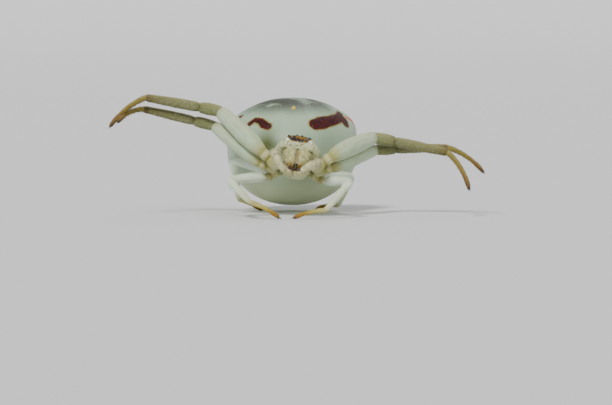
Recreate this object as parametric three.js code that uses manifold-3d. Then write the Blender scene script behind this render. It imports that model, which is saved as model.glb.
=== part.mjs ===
// A female crab spider at rest on a floor, front legs spread, as a still life-size model.
// Millimetres. +Z is up, the head looks along -Y, and the animal's left side is +X.

import * as THREE from 'three';
import { mergeVertices } from 'three/addons/utils/BufferGeometryUtils.js';
import Module from 'manifold-3d';

const wasm = await Module();
wasm.setup();

// Gaps between parts that meet
const jointGap = 0.06;
const eyeGap = 0.03;

// Front body, measured in a frame of its own that is tipped back and rolled, the legs' bases by less
const prosoma = { place: [-0.05, 0, 3.15], headRollDeg: 8, legRollDeg: 4, pitchDeg: -6 };
const carapace = {
  floor: -0.15, crown: 1.69, fall: 0.22,
  lowWidth: 1.62, crownWidth: 0.9, widthBend: 1.6,
  faceReach: 1.58, faceLevel: 0.62, chinReach: 1.02, chinLevel: 0.2,
  lowBack: 1.75, crownBack: 1.15, fullness: 0.36, frontSquareness: 3.2, backSquareness: 2.2,
};
const horn = { place: [0.85, -1.34, 1.55], reach: 0.22, rise: 0.32, push: [0.4, -0.25, 1] };
const sternum = { place: [0, 0.05, -0.72], half: [0.72, 1.0, 0.26], sides: 14, rings: 10 };

// Abdomen, widest behind the middle, with a blunt shoulder on each side
const abdomen = {
  frontY: 1.85, length: 6.85, centreX: -0.31, centreZ: 3.6,
  halfWidth: 3.92, above: 3.25, below: 3.25, widestAt: 0.6, frontPower: 0.36, backPower: 0.5,
  topSquareness: 2.25, bottomSquareness: 2.05,
};
const shoulder = { place: [3.36, 6.0, 1.75], reach: 1.0, rise: 0.22, push: [1, 0, 0.35] };

// The waist, from the front body into the abdomen's front, and the mound of the spinnerets
const waist = { root: [0, 1.5, -0.05], inset: 0.35, drop: 0.5, radius: 0.3 };
const spinnerets = { share: 0.93, root: [0, -0.2, 0.25], tip: [0, 0.55, -0.4], radius: 0.36 };

// Mouthparts, in the frame of the front body; x is given for the left side
const chelicera = { root: [0.47, -1.32, 0.78], tip: [0.23, -1.68, -0.38], radius: 0.45 };
const fang = { root: [0.38, -1.7, -0.4], tip: [0.03, -1.74, -0.52], radius: 0.1 };
const maxilla = { root: [0.8, -0.72, -0.42], tip: [0.24, -1.42, -0.68], radius: 0.25 };
const labium = { place: [0, -1.16, -0.66], half: [0.2, 0.3, 0.15], sides: 10, rings: 8 };

// Palps, whose left one lies across the jaws while the right one hangs beside them
const palps = {
  left: [[0.85, -1.05, 2.72], [1.28, -1.8, 3.28], [0.2, -2.36, 2.76]],
  right: [[-0.98, -1.05, 2.98], [-1.36, -1.78, 3.86], [-0.76, -2.12, 2.72]],
};
const palpRadius = 0.235;

// Eyes by their heading round the head from straight ahead, their level and their radius
const eyeProud = -0.2;
const eyes = {
  front_middle: { headingDeg: 9, level: 0.76, radius: 0.075 },
  front_side: { headingDeg: 24, level: 0.81, radius: 0.1 },
  rear_middle: { headingDeg: 12, level: 0.955, radius: 0.07 },
  rear_side: { headingDeg: 44, level: 0.925, radius: 0.085 },
};

// Legs: where each coxa starts and ends on the front body, then lengths and thickest radii
const legPairs = [
  {
    root: [0.95, -0.72, -0.42], hip: [2.0, -0.95, 0.42],
    lengths: [4.1, 4.5, 3.4], radii: [0.36, 0.56, 0.38, 0.26], rings: [3, 6, 6, 6], bow: 1,
  },
  {
    root: [1.05, -0.12, -0.48], hip: [2.1, -0.2, -0.18],
    lengths: [4.1, 4.35, 3.2], radii: [0.34, 0.5, 0.35, 0.25], rings: [3, 6, 6, 6], bow: 1,
  },
  {
    root: [0.95, 0.42, -0.52], hip: [1.65, 0.55, -0.95],
    lengths: [2.6, 2.2, 2.0], radii: [0.29, 0.31, 0.27, 0.24], rings: [3, 5, 4, 4], bow: 0.6,
  },
  {
    root: [0.78, 0.92, -0.5], hip: [1.35, 1.2, -0.6],
    lengths: [2.9, 2.7, 2.45], radii: [0.3, 0.31, 0.27, 0.24], rings: [3, 5, 4, 4], bow: 0.6,
  },
];

// Heading round +Z from +X and rise above level of each femur, tibia and tarsus, in degrees.
// A tarsus without a rise of its own reaches down to the floor.
const stance = {
  leg1_right: [[137.5, 34.5], [182.5, 10.5], [-132, -29.5]],
  leg2_right: [[141, 31], [182.5, 13.5], [-115, -13]],
  leg1_left: [[50, 14.5], [-9, -11], [-64.5, -38]],
  leg2_left: [[49.5, 13.5], [-5, 2], [-46, -26]],
  leg3_right: [[-145.5, -2], [-51, -33], [-10.5]],
  leg3_left: [[-53.5, 1.5], [-165.5, -48], [-163]],
  leg4_right: [[147, 13], [75.5, -60.5], [54.5]],
  leg4_left: [[48, -3], [111.5, -41], [122.5]],
};

// Radius along each kind of segment, from root to end, as shares of its thickest radius
const outlines = {
  coxa: [[0, 0.86], [0.3, 1], [0.62, 0.86], [0.75, 0.88], [1, 0.82]],
  femur: [[0, 0.62], [0.14, 0.82], [0.4, 1], [0.75, 0.88], [1, 0.68]],
  tibia: [[0, 0.9], [0.18, 1], [0.32, 0.84], [0.42, 0.86], [0.7, 0.76], [1, 0.63]],
  tarsus: [[0, 0.92], [0.12, 1], [0.55, 0.84], [0.64, 0.74], [0.74, 0.8], [1, 0.58]],
  jaw: [[0, 0.7], [0.25, 1], [0.7, 0.8], [1, 0.58]],
  spike: [[0, 1], [0.5, 0.72], [1, 0.22]],
  oval: [[0, 0.72], [0.5, 1], [1, 0.72]],
  palp: [[0, 0.6], [0.25, 0.82], [0.45, 0.78], [0.58, 0.92], [0.8, 1], [1, 0.72]],
  spinneret: [[0, 1], [0.6, 0.8], [1, 0.4]],
};
const bows = { coxa: 0, femur: 0.12, tibia: 0.02, tarsus: 0.2 };
const kinds = ['coxa', 'femur', 'tibia', 'tarsus'];
const limbSides = 10;
const caps = { depth: 0.8, longest: 0.4, firstRing: 0.25 };
const overrun = 0.3;
const soleShare = 0.45;
const blockSize = 12;
const floorSize = 60;

// Colours and finishes
const finishes = {
  cuticle: { color: 0xc9d4bd, roughness: 0.5 },
  abdomen: { color: 0xb4c3ae, roughness: 0.55 },
  tibia: { color: 0x9b9a72, roughness: 0.5 },
  tarsus: { color: 0xc79a2c, roughness: 0.5 },
  fang: { color: 0x4a1208, roughness: 0.3 },
  eye: { color: 0x120a06, roughness: 0.1 },
};

const rad = THREE.MathUtils.degToRad;
const mix = THREE.MathUtils.lerp;
const step = THREE.MathUtils.smoothstep;
const up = new THREE.Vector3(0, 0, 1);
const vector = ([x, y, z]) => new THREE.Vector3(x, y, z);

// From the front body's own frame to the frame of the floor
function prosomaFrame(rollDeg) {
  return new THREE.Matrix4()
    .makeRotationX(rad(prosoma.pitchDeg))
    .multiply(new THREE.Matrix4().makeRotationY(rad(rollDeg)))
    .setPosition(...prosoma.place);
}

const headFrame = prosomaFrame(prosoma.headRollDeg);
const legFrame = prosomaFrame(prosoma.legRollDeg);

function onProsoma([x, y, z], side = 1, frame = headFrame) {
  return new THREE.Vector3(side * x, y, z).applyMatrix4(frame);
}

function plain(geometry) {
  const copy = geometry.clone();
  copy.deleteAttribute('normal');
  copy.deleteAttribute('uv');
  return mergeVertices(copy, 1e-5);
}

function solidOf(geometry) {
  const merged = plain(geometry);
  const mesh = new wasm.Mesh({
    numProp: 3,
    vertProperties: new Float32Array(merged.attributes.position.array),
    triVerts: new Uint32Array(merged.index.array),
  });
  return new wasm.Manifold(mesh);
}

function geometryOf(solid, pivot) {
  const { vertProperties, triVerts } = solid.getMesh();
  const geometry = new THREE.BufferGeometry();
  geometry.setAttribute('position', new THREE.BufferAttribute(new Float32Array(vertProperties), 3));
  geometry.setIndex(new THREE.BufferAttribute(new Uint32Array(triVerts), 1));
  geometry.translate(-pivot.x, -pivot.y, -pivot.z);
  geometry.computeVertexNormals();
  return geometry;
}

// A copy whose surface stands out by the gap, for cutting a neighbour clear
function swollen(geometry, gap) {
  const copy = plain(geometry);
  copy.computeVertexNormals();
  const { position, normal } = copy.attributes;
  for (let i = 0; i < position.count; i += 1) {
    position.setXYZ(
      i,
      position.getX(i) + gap * normal.getX(i),
      position.getY(i) + gap * normal.getY(i),
      position.getZ(i) + gap * normal.getZ(i),
    );
  }
  return copy;
}

function largestOf(solid) {
  return solid.decompose().reduce((best, one) => (one.volume() > best.volume() ? one : best));
}

function reshape(geometry, place) {
  const { position } = geometry.attributes;
  const point = new THREE.Vector3();
  for (let i = 0; i < position.count; i += 1) {
    point.fromBufferAttribute(position, i);
    const moved = place(point);
    position.setXYZ(i, moved.x, moved.y, moved.z);
  }
  return plain(geometry);
}

// Straight-line reading of an outline table at the share t of the length
function readOutline(outline, t) {
  const next = outline.findIndex(([at]) => at >= t);
  if (next <= 0) {
    return outline[0][1];
  }
  const [startAt, startValue] = outline[next - 1];
  const [endAt, endValue] = outline[next];
  return mix(startValue, endValue, (t - startAt) / (endAt - startAt));
}

// A limb along a curve: rings square to the curve, closed by a round cap at each end
function sweep(curve, radius, kind, { rings = 5, sides = limbSides } = {}) {
  const length = curve.getLength();
  const outline = outlines[kind];
  const capShare = (end) => Math.min(caps.longest, (caps.depth * radius * end[1]) / length);
  const startCap = capShare(outline[0]);
  const endCap = capShare(outline.at(-1));
  const shares = [0, caps.firstRing * startCap];
  for (let i = 0; i <= rings; i += 1) {
    shares.push(mix(startCap, 1 - endCap, i / rings));
  }
  shares.push(1 - caps.firstRing * endCap, 1);
  const capRound = (depth) => Math.sqrt(Math.max(0, 1 - (1 - Math.min(1, depth)) ** 2));
  const profile = shares.map((t) => {
    const round = capRound(t / startCap) * capRound((1 - t) / endCap);
    return new THREE.Vector2(radius * readOutline(outline, t) * round, t);
  });
  const chord = curve.getPoint(1).sub(curve.getPoint(0)).normalize();
  const across = chord.cross(Math.abs(chord.z) < 0.95 ? up : new THREE.Vector3(0, 1, 0)).normalize();
  return reshape(new THREE.LatheGeometry(profile, sides), ({ x, y: t, z }) => {
    const along = curve.getTangentAt(t);
    const side = across.clone().addScaledVector(along, -across.dot(along)).normalize();
    const upper = side.clone().cross(along);
    return curve.getPointAt(t).addScaledVector(side, x).addScaledVector(upper, z);
  });
}

// A nearly straight limb, bowed upwards and towards the side that it is on
function limb(from, to, radius, kind, { bow = 0, ...counts } = {}) {
  const along = to.clone().sub(from).normalize();
  const swell = new THREE.Vector3(Math.sign(from.x), 0, 1);
  swell.addScaledVector(along, -swell.dot(along)).normalize();
  const middle = from.clone().lerp(to, 0.5).addScaledVector(swell, 2 * bow);
  return sweep(new THREE.QuadraticBezierCurve3(from, middle, to), radius, kind, counts);
}

// A block that takes away all that lies beyond a plane
function beyond(place, normal, gap) {
  const block = new THREE.BoxGeometry(blockSize, blockSize, blockSize);
  block.translate(0, 0, 0.5 * (blockSize - gap));
  block.applyQuaternion(new THREE.Quaternion().setFromUnitVectors(up, normal));
  return solidOf(block.translate(...place.toArray()));
}

// Raises a rounded swelling round its place on each side
function pushOut(point, { place, reach, rise, push }) {
  for (const side of [1, -1]) {
    const away = point.distanceTo(new THREE.Vector3(side * place[0], place[1], place[2]));
    const share = rise * Math.exp(-((away / reach) ** 2));
    point.add(new THREE.Vector3(side * push[0], push[1], push[2]).multiplyScalar(share));
  }
}

// Surface of the carapace: heading 0 looks straight ahead and level runs from 0 low to 1 on the crown
function carapacePoint(heading, level) {
  const c = carapace;
  const ring = (4 * level * (1 - level)) ** (0.5 * c.fullness);
  const width = mix(c.lowWidth, c.crownWidth, level ** c.widthBend);
  const front = mix(c.chinReach, c.faceReach, step(level, c.chinLevel, c.faceLevel));
  const back = mix(c.lowBack, c.crownBack, level * level);
  const sin = Math.sin(heading);
  const cos = Math.cos(heading);
  const power = cos > 0 ? c.frontSquareness : c.backSquareness;
  const square = 1 / (Math.abs(sin) ** power + Math.abs(cos) ** power) ** (1 / power);
  const point = new THREE.Vector3(
    width * ring * square * sin,
    -(cos > 0 ? front : back) * ring * square * cos,
    mix(c.floor, c.crown, level),
  );
  point.z -= c.fall * level * (point.y + c.faceReach);
  pushOut(point, horn);
  return point;
}

function carapaceShape() {
  const ball = new THREE.SphereGeometry(1, 30, 16).rotateX(Math.PI / 2);
  return reshape(ball, (unit) => {
    const heading = Math.atan2(unit.x, -unit.y);
    return carapacePoint(heading, 0.5 + 0.5 * unit.z).applyMatrix4(headFrame);
  });
}

// Surface of the abdomen by its share of the length and the angle round it from +X to +Z
function abdomenPoint(share, angle) {
  const a = abdomen;
  const warped = share ** (Math.log(0.5) / Math.log(a.widestAt));
  const bluntness = warped < 0.5 ? a.frontPower : a.backPower;
  const ring = Math.max(0, 4 * warped * (1 - warped)) ** bluntness;
  const cos = Math.cos(angle);
  const sin = Math.sin(angle);
  const power = sin > 0 ? a.topSquareness : a.bottomSquareness;
  const square = ring / (Math.abs(cos) ** power + Math.abs(sin) ** power) ** (1 / power);
  const point = new THREE.Vector3(
    a.halfWidth * square * cos,
    a.frontY + a.length * share,
    (sin > 0 ? a.above : a.below) * square * sin,
  );
  pushOut(point, shoulder);
  return point.add(new THREE.Vector3(a.centreX, 0, a.centreZ));
}

function abdomenShape() {
  const a = abdomen;
  return reshape(new THREE.SphereGeometry(1, 36, 20), (unit) => {
    const warped = 0.5 + 0.5 * unit.y;
    const share = warped ** (Math.log(a.widestAt) / Math.log(0.5));
    return abdomenPoint(share, Math.atan2(unit.z, unit.x));
  });
}

function ellipsoid({ place, half, sides, rings }) {
  const ball = new THREE.SphereGeometry(1, sides, rings).rotateX(Math.PI / 2);
  return reshape(ball, (unit) => {
    const point = place.map((value, i) => value + half[i] * unit.getComponent(i));
    return onProsoma(point);
  });
}

const spider = new THREE.Group();
spider.name = 'crab_spider';
const shapes = {};
const slab = new THREE.BoxGeometry(floorSize, floorSize, blockSize).translate(0, 0, -0.5 * blockSize);
const underFloor = solidOf(slab);

// Adds one sub-part, cut clear of earlier parts that it would touch and cut flat at the floor
function addPart(name, finish, shape, pivot, { clearOf = [], gap = jointGap, cuts = [] } = {}) {
  let solid = solidOf(shape);
  for (const cutter of [...cuts, ...clearOf.map((other) => solidOf(swollen(shapes[other], gap)))]) {
    if (!solid.intersect(cutter).isEmpty()) {
      solid = solid.subtract(cutter);
    }
  }
  solid = largestOf(solid.subtract(underFloor));
  const material = new THREE.MeshStandardMaterial({ metalness: 0, ...finishes[finish] });
  const mesh = new THREE.Mesh(geometryOf(solid, pivot), material);
  mesh.name = name;
  mesh.position.copy(pivot);
  spider.add(mesh);
  shapes[name] = shape;
}

const sides = { left: 1, right: -1 };

// Centre of an eye, a share of its radius proud of the surface, or below it where negative
function eyePlace({ headingDeg, level, radius }, side) {
  const nudge = 0.01;
  const heading = side * rad(headingDeg);
  const surface = carapacePoint(heading, level);
  const turn = carapacePoint(heading + nudge, level).sub(surface);
  const lift = carapacePoint(heading, level + nudge).sub(surface);
  const outward = lift.cross(turn).normalize();
  if (outward.dot(surface) < 0) {
    outward.negate();
  }
  return surface.addScaledVector(outward, eyeProud * radius).applyMatrix4(headFrame);
}

function eyeBalls() {
  const balls = {};
  for (const [sideName, side] of Object.entries(sides)) {
    for (const [row, eye] of Object.entries(eyes)) {
      const place = eyePlace(eye, side);
      const ball = new THREE.SphereGeometry(eye.radius, 10, 6).translate(...place.toArray());
      balls[`eye_${row}_${sideName}`] = { place, ball };
    }
  }
  return balls;
}

function addHead() {
  const balls = eyeBalls();
  for (const [name, { place, ball }] of Object.entries(balls)) {
    addPart(name, 'eye', ball, place);
  }
  const sockets = { clearOf: Object.keys(balls), gap: eyeGap };
  addPart('carapace', 'cuticle', carapaceShape(), onProsoma([0, 0, 0]), sockets);
  const plate = ellipsoid(sternum);
  addPart('sternum', 'cuticle', plate, onProsoma(sternum.place), { clearOf: ['carapace'] });
}

// A pair of mouthparts along straight lines, left and then right, each clear of what came before
function addPair(name, finish, { root, tip, radius }, kind, done, sideCount) {
  for (const [sideName, side] of Object.entries(sides)) {
    const from = onProsoma(root, side);
    const shape = limb(from, onProsoma(tip, side), radius, kind, { sides: sideCount });
    addPart(`${name}_${sideName}`, finish, shape, from, { clearOf: done });
    done.push(`${name}_${sideName}`);
  }
}

function addMouthparts() {
  const done = ['carapace', 'sternum'];
  addPair('chelicera', 'cuticle', chelicera, 'jaw', done, 12);
  const lip = ellipsoid(labium);
  addPart('labium', 'cuticle', lip, onProsoma(labium.place), { clearOf: done });
  done.push('labium');
  addPair('fang', 'fang', fang, 'spike', done, 6);
  addPair('maxilla', 'cuticle', maxilla, 'oval', done, limbSides);
  for (const sideName of Object.keys(sides)) {
    const places = palps[sideName].map(vector);
    const shape = sweep(new THREE.CatmullRomCurve3(places), palpRadius, 'palp', { rings: 9 });
    addPart(`palp_${sideName}`, 'cuticle', shape, places[0], { clearOf: done });
    done.push(`palp_${sideName}`);
  }
}

function direction(headingDeg, riseDeg) {
  const level = Math.cos(rad(riseDeg));
  return new THREE.Vector3(
    level * Math.cos(rad(headingDeg)),
    level * Math.sin(rad(headingDeg)),
    Math.sin(rad(riseDeg)),
  );
}

// Joint places of one leg, from its root to the tip of its tarsus
function jointsOf(pair, side, angles) {
  const joints = [pair.root, pair.hip].map((place) => onProsoma(place, side, legFrame));
  angles.forEach(([headingDeg, riseDeg], i) => {
    const start = joints.at(-1);
    const length = pair.lengths[i];
    const soleHeight = soleShare * outlines.tarsus.at(-1)[1] * pair.radii[3];
    const rise = riseDeg ?? -THREE.MathUtils.radToDeg(Math.asin((start.z - soleHeight) / length));
    joints.push(start.clone().addScaledVector(direction(headingDeg, rise), length));
  });
  return joints;
}

// How far a segment runs on past its joint, so that the slanted cut meets its full thickness
function overlapAt(mitre, line, radius) {
  const cos = Math.min(1, mitre.dot(line));
  return overrun * radius + (radius * Math.sqrt(1 - cos * cos)) / cos;
}

// The segments of one leg, parted at each joint by a cut that halves the angle of its bend
function addLeg(number, sideName) {
  const pair = legPairs[number - 1];
  const leg = `leg${number}_${sideName}`;
  const joints = jointsOf(pair, sides[sideName], stance[leg]);
  const lines = kinds.map((kind, i) => joints[i + 1].clone().sub(joints[i]).normalize());
  const mitres = kinds.slice(1).map((kind, i) => lines[i].clone().add(lines[i + 1]).normalize());
  const trunk = ['carapace', 'sternum', 'abdomen', `maxilla_${sideName}`, `palp_${sideName}`];
  const ahead = number > 1 ? kinds.map((kind) => `leg${number - 1}_${sideName}_${kind}`) : [];
  kinds.forEach((kind, i) => {
    const radius = pair.radii[i];
    const cuts = [];
    const from = joints[i].clone();
    const to = joints[i + 1].clone();
    if (i > 0) {
      cuts.push(beyond(joints[i], mitres[i - 1].clone().negate(), jointGap));
      from.addScaledVector(lines[i], -overlapAt(mitres[i - 1], lines[i], radius));
    }
    if (i < kinds.length - 1) {
      cuts.push(beyond(joints[i + 1], mitres[i], jointGap));
      to.addScaledVector(lines[i], overlapAt(mitres[i], lines[i], radius));
    }
    const shape = limb(from, to, radius, kind, { bow: pair.bow * bows[kind], rings: pair.rings[i] });
    const finish = i < 2 ? 'cuticle' : kind;
    addPart(`${leg}_${kind}`, finish, shape, joints[i], { clearOf: [...trunk, ...ahead], cuts });
  });
}

// The waist between the front body and the abdomen
function addWaist() {
  const { centreX, frontY, centreZ } = abdomen;
  const front = onProsoma(waist.root);
  const back = new THREE.Vector3(centreX, frontY + waist.inset, centreZ - waist.drop);
  const shape = limb(front, back, waist.radius, 'oval', { rings: 3 });
  addPart('pedicel', 'cuticle', shape, front, { clearOf: ['carapace', 'abdomen', 'sternum'] });
}

function addAbdomen() {
  const centre = new THREE.Vector3(abdomen.centreX, abdomen.frontY + 0.5 * abdomen.length, abdomen.centreZ);
  addPart('abdomen', 'abdomen', abdomenShape(), centre, { clearOf: ['carapace'] });
  const root = abdomenPoint(spinnerets.share, rad(-90));
  const [from, tip] = [spinnerets.root, spinnerets.tip].map((place) => vector(place).add(root));
  const cone = limb(from, tip, spinnerets.radius, 'spinneret', { rings: 3 });
  addPart('spinnerets', 'cuticle', cone, root, { clearOf: ['abdomen'] });
}

addHead();
addMouthparts();
addAbdomen();
addWaist();
for (const sideName of Object.keys(sides)) {
  for (let number = 1; number <= 4; number += 1) {
    addLeg(number, sideName);
  }
}

// The origin is on the floor, under the middle of the animal's outline
const extent = new THREE.Box3().setFromObject(spider);
const middle = extent.getCenter(new THREE.Vector3());
spider.position.set(-middle.x, -middle.y, -extent.min.z);

export default spider;
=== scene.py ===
import math
import bpy
import numpy as np
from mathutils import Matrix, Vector
from mathutils.bvhtree import BVHTree
from mathutils.kdtree import KDTree


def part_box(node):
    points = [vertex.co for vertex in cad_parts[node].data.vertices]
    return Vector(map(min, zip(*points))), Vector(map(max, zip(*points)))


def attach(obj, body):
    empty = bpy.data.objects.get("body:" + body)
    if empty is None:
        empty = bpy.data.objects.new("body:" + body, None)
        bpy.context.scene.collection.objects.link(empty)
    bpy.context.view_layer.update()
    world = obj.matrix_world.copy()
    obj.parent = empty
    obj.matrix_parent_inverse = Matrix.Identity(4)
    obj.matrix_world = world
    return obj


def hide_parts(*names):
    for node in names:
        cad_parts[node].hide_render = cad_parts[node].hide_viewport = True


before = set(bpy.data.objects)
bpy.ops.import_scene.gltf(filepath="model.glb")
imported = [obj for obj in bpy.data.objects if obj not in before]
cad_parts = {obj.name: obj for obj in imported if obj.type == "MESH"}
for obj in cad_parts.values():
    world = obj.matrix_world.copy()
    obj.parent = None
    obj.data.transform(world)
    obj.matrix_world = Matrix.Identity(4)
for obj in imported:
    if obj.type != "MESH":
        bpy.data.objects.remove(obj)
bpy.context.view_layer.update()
mm = 0.001  # shapes are worked out in millimetres and scaled down at the end
dice = np.random.default_rng(11)
bothSides = (("left", 1), ("right", -1))

# Measures of the body, the same as the solids have; the skin lies inside them by the inset
prosoma = {"place": (-0.05, 0, 3.15), "headRoll": 8, "legRoll": 4, "pitch": -6}
carapace = {
    "floor": -0.15, "crown": 1.69, "fall": 0.22,
    "lowWidth": 1.62, "crownWidth": 0.9, "widthBend": 1.6,
    "faceReach": 1.58, "faceLevel": 0.62, "chinReach": 1.02, "chinLevel": 0.2,
    "lowBack": 1.75, "crownBack": 1.15, "fullness": 0.36,
    "frontSquareness": 3.2, "backSquareness": 2.2, "inset": 0.985,
}
horn = {"place": (0.85, -1.34, 1.55), "reach": 0.22, "rise": 0.32, "push": (0.4, -0.25, 1)}
abdomen = {
    "frontY": 1.85, "length": 6.85, "centreX": -0.31, "centreZ": 3.6,
    "halfWidth": 3.92, "above": 3.25, "below": 3.25, "widestAt": 0.6,
    "frontPower": 0.36, "backPower": 0.5, "topSquareness": 2.25, "bottomSquareness": 2.05,
    "inset": 0.996,
}
shoulder = {"place": (3.36, 6.0, 1.75), "reach": 1.0, "rise": 0.22, "push": (1, 0, 0.35)}


def turning(pitchDeg, rollDeg):
    pitchCos, pitchSin = math.cos(math.radians(pitchDeg)), math.sin(math.radians(pitchDeg))
    rollCos, rollSin = math.cos(math.radians(rollDeg)), math.sin(math.radians(rollDeg))
    pitch = np.array([[1, 0, 0], [0, pitchCos, -pitchSin], [0, pitchSin, pitchCos]])
    roll = np.array([[rollCos, 0, rollSin], [0, 1, 0], [-rollSin, 0, rollCos]])
    return pitch @ roll


# From the frame of the head and chest to the animal's, and back
def onProsoma(points, side=1, roll=prosoma["headRoll"]):
    points = np.asarray(points, float) * (side, 1, 1)
    return points @ turning(prosoma["pitch"], roll).T + prosoma["place"]


def intoHead(points):
    return (points - prosoma["place"]) @ turning(prosoma["pitch"], prosoma["headRoll"])


def unit(vectors):
    vectors = np.asarray(vectors, float)
    return vectors / np.maximum(np.linalg.norm(vectors, axis=-1, keepdims=True), 1e-9)


def mix(a, b, t):
    return a + (b - a) * t


def smooth(value, start, end):
    t = np.clip((value - start) / (end - start), 0, 1)
    return t * t * (3 - 2 * t)


def hill(points, centre, reach):
    return np.exp(-(np.linalg.norm(points - np.asarray(centre), axis=-1) / reach) ** 2)


def mirrored(place, side):
    return np.array(place) * (side, 1, 1)


# Angles all round, and steps from 0 to 1 that close up towards both ends
def allRound(count):
    return np.linspace(0, 2 * math.pi, count, endpoint=False)


def eased(count, poleGap):
    return 0.5 - 0.5 * np.cos(np.linspace(poleGap, math.pi - poleGap, count))


# Raises a rounded swelling round its place on each side
def pushOut(points, swelling):
    for side in (1, -1):
        share = swelling["rise"] * hill(points, mirrored(swelling["place"], side), swelling["reach"])
        points = points + share[..., None] * mirrored(swelling["push"], side)
    return points


def carapacePoint(heading, level):
    c = carapace
    heading, level = np.broadcast_arrays(np.asarray(heading, float), np.asarray(level, float))
    ring = np.maximum(4 * level * (1 - level), 0) ** (0.5 * c["fullness"])
    width = mix(c["lowWidth"], c["crownWidth"], level ** c["widthBend"])
    front = mix(c["chinReach"], c["faceReach"], smooth(level, c["chinLevel"], c["faceLevel"]))
    back = mix(c["lowBack"], c["crownBack"], level * level)
    sin, cos = np.sin(heading), np.cos(heading)
    power = np.where(cos > 0, c["frontSquareness"], c["backSquareness"])
    square = 1 / (np.abs(sin) ** power + np.abs(cos) ** power) ** (1 / power)
    y = -np.where(cos > 0, front, back) * ring * square * cos
    z = mix(c["floor"], c["crown"], level) - c["fall"] * level * (y + c["faceReach"])
    return pushOut(np.stack([width * ring * square * sin, y, z], -1), horn)


def abdomenPoint(share, angle):
    a = abdomen
    share, angle = np.broadcast_arrays(np.asarray(share, float), np.asarray(angle, float))
    warped = share ** (math.log(0.5) / math.log(a["widestAt"]))
    bluntness = np.where(warped < 0.5, a["frontPower"], a["backPower"])
    ring = np.maximum(4 * warped * (1 - warped), 0) ** bluntness
    cos, sin = np.cos(angle), np.sin(angle)
    power = np.where(sin > 0, a["topSquareness"], a["bottomSquareness"])
    square = ring / (np.abs(cos) ** power + np.abs(sin) ** power) ** (1 / power)
    height = np.where(sin > 0, a["above"], a["below"])
    y = a["frontY"] + a["length"] * share
    points = pushOut(np.stack([a["halfWidth"] * square * cos, y, height * square * sin], -1), shoulder)
    return points + (a["centreX"], 0, a["centreZ"])


# The animal's own frame is set into the shared frame by the abdomen's solid
low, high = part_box("abdomen")
shift = np.array([(low.x + high.x) / 2 / mm - abdomen["centreX"], low.y / mm - abdomen["frontY"], 0])

# What each vertex of the modelled form carries on to the skin
tags = ("legPlace", "frontLeg", "onAbdomen", "onHead", "onMouth", "onJaw", "grainX", "grainY", "grainZ")


class Clay:
    def __init__(self):
        self.points, self.faces, self.tags, self.count = [], [], [], 0

    # Rings of points joined into a closed form, with a point at either end
    def add(self, rings, start, end, **marks):
        turns, sides = rings.shape[:2]
        points = np.concatenate([rings.reshape(-1, 3), [start, end]])
        first, last = self.count + turns * sides, self.count + turns * sides + 1
        tail = self.count + (turns - 1) * sides
        for i in range(turns - 1):
            for j in range(sides):
                k = (j + 1) % sides
                a, b = i * sides, (i + 1) * sides
                self.faces.append([self.count + n for n in (a + j, a + k, b + k, b + j)])
        for j in range(sides):
            k = (j + 1) % sides
            self.faces.append([first, self.count + k, self.count + j])
            self.faces.append([last, tail + j, tail + k])
        table = np.zeros((len(points), len(tags)))
        grain = marks.pop("grain", points)
        for n, axis in enumerate(("grainX", "grainY", "grainZ")):
            table[:, tags.index(axis)] = np.resize(grain[:, n], len(points))
        for tag, value in marks.items():
            value = np.asarray(value, float)
            if value.ndim:
                value = np.concatenate([np.repeat(value, sides), [value[0], value[-1]]])
            table[:, tags.index(tag)] = value
        self.points.append(points)
        self.tags.append(table)
        self.count += len(points)


def bezier(start, middle, end):
    start, middle, end = (np.asarray(p, float) for p in (start, middle, end))

    def at(t):
        t = np.asarray(t, float)[..., None]
        return start * (1 - t) ** 2 + 2 * middle * t * (1 - t) + end * t * t

    return at


def bowed(start, end, bow=0):
    along = unit(end - start)
    swell = np.array([np.sign(start[0]), 0, 1])
    swell = unit(swell - along * (swell @ along))
    return bezier(start, (start + end) / 2 + swell * 2 * bow, end)


# Side and upper directions square to a curve at each of the places t
def frameOf(curve, t):
    gap, steep = 0.002, 0.95
    along = unit(curve(t + gap) - curve(t - gap))
    chord = unit(curve(1.0) - curve(0.0))
    across = unit(np.cross(chord, (0, 0, 1) if abs(chord[2]) < steep else (0, 1, 0)))
    side = unit(across - along * (along @ across)[..., None])
    return along, side, np.cross(side, along)


def profile(outline, t):
    at, value = zip(*outline)
    return np.interp(t, at, value)


caps = {"rings": 6, "share": 0.45, "roundness": 0.8, "start": 0.2}
hairy = []  # every surface that bears hairs


# A round limb along a stretch of a curve, with a round cap at each end
def limb(clay, curve, stretch, radius, outline, rings, sides=26, kind=None, **marks):
    begin, finish = stretch
    length = np.linalg.norm(curve(finish) - curve(begin))
    first, last = (min(caps["share"], caps["roundness"] * radius * end[1] / length)
                   for end in (outline[0], outline[-1]))
    lean = 1 - np.cos(np.linspace(caps["start"], math.pi / 2, caps["rings"]))
    u = np.concatenate([first * lean, np.linspace(first, 1 - last, rings)[1:-1], 1 - last * lean[::-1]])
    rounding = [np.sqrt(np.maximum(0, 1 - (1 - np.clip(d, 0, 1)) ** 2)) for d in (u / first, (1 - u) / last)]
    t = mix(begin, finish, u)
    size = radius * profile(outline, u) * rounding[0] * rounding[1]
    along, side, upper = frameOf(curve, t)
    angle = allRound(sides)
    ring = side[:, None] * np.cos(angle)[:, None] + upper[:, None] * np.sin(angle)[:, None]
    points = curve(t)[:, None] + ring * size[:, None, None]
    if "span" in marks:
        marks["legPlace"] = mix(*marks.pop("span"), u)
    if "run" in marks:
        grain = np.broadcast_arrays(marks.pop("run") + u[:, None] * length, np.cos(angle), np.sin(angle))
        grain = np.stack(grain, -1).reshape(-1, 3)
        marks["grain"] = np.concatenate([grain, grain[:1], grain[-1:]])
    clay.add(points, curve(begin), curve(finish), **marks)
    if kind:
        hairy.append({"kind": kind, "curve": curve, "stretch": stretch, "radius": radius, "outline": outline})
    return length


clay = Clay()

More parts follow.
